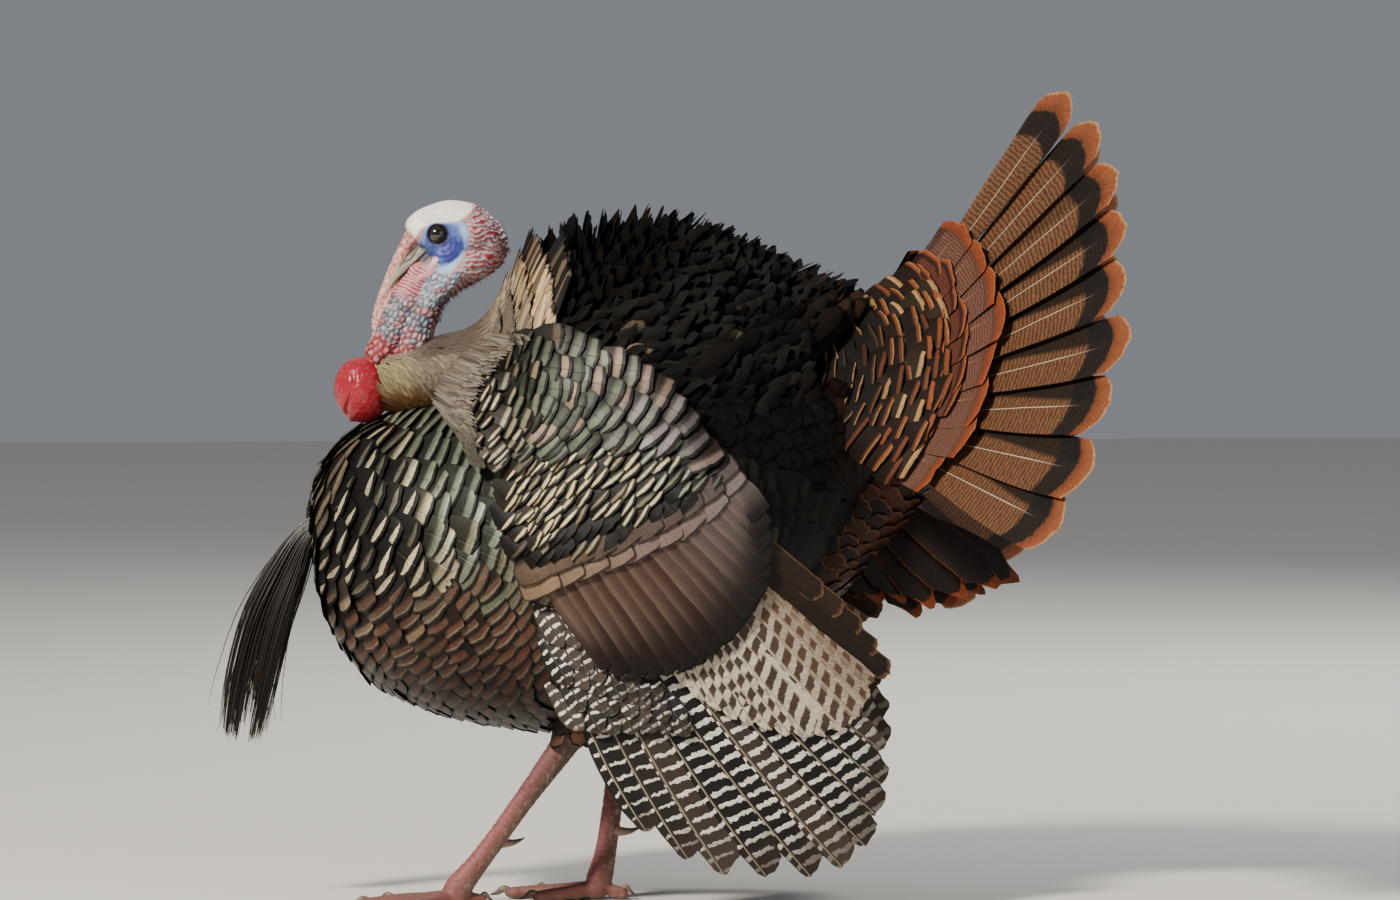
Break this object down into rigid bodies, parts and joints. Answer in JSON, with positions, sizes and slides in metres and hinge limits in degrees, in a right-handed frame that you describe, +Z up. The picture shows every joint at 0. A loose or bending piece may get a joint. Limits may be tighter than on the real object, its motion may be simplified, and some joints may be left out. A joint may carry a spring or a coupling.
{
  "type": "wild turkey model",
  "caption": "Life-size standing male wild turkey in strutting display, with a fanned tail, drooped wings, beard, snood and wattle.",
  "frame": {"origin": "middle of the whole bird's box, on the floor it stands on", "axes": "+X towards the tail, so the bird faces -X; +Y towards the bird's right side; +Z up"},
  "size_m": [0.924, 0.5942, 0.8037],
  "materials": {
    "body_feathers": "satin",
    "breast_feathers": "satin",
    "belly_feathers": "satin",
    "neck_feathers": "matte",
    "scapular_feathers": "satin",
    "covert_feathers": "satin",
    "flight_feathers": "satin",
    "tail_feathers": "satin",
    "rump_feathers": "satin",
    "undertail_feathers": "matte",
    "beard_hair": "satin",
    "head_skin": "satin",
    "red_skin": "satin",
    "snood_skin": "satin",
    "wattle_skin": "gloss",
    "leg_skin": "satin",
    "bill_horn": "satin",
    "claw_horn": "satin",
    "eye": "gloss"
  },
  "bodies": {
    "root": {"back": "body_feathers", "bare_neck": "red_skin", "beard": "beard_hair", "belly": "belly_feathers", "bill_lower": "bill_horn", "bill_upper": "bill_horn", "breast": "breast_feathers", "claw_left_hind": "claw_horn", "claw_left_inner": "claw_horn", "claw_left_middle": "claw_horn", "claw_left_outer": "claw_horn", "claw_right_hind": "claw_horn", "claw_right_inner": "claw_horn", "claw_right_middle": "claw_horn", "claw_right_outer": "claw_horn", "dewlap": "red_skin", "eye_left": "eye", "eye_right": "eye", "foot_left": "leg_skin", "foot_right": "leg_skin", "head": "head_skin", "neck": "neck_feathers", "rump": "rump_feathers", "shank_left": "leg_skin", "shank_right": "leg_skin", "snood": "snood_skin", "spur_left": "claw_horn", "spur_right": "claw_horn", "tail_coverts_left": "tail_feathers", "tail_coverts_right": "tail_feathers", "tail_left": "tail_feathers", "tail_right": "tail_feathers", "thigh_left": "belly_feathers", "thigh_right": "belly_feathers", "undertail": "undertail_feathers", "wattle": "wattle_skin", "wing_left_coverts": "covert_feathers", "wing_left_primaries": "flight_feathers", "wing_left_secondaries": "flight_feathers", "wing_left_shoulder": "scapular_feathers", "wing_right_coverts": "covert_feathers", "wing_right_primaries": "flight_feathers", "wing_right_secondaries": "flight_feathers", "wing_right_shoulder": "scapular_feathers"}
  },
  "joints": []
}
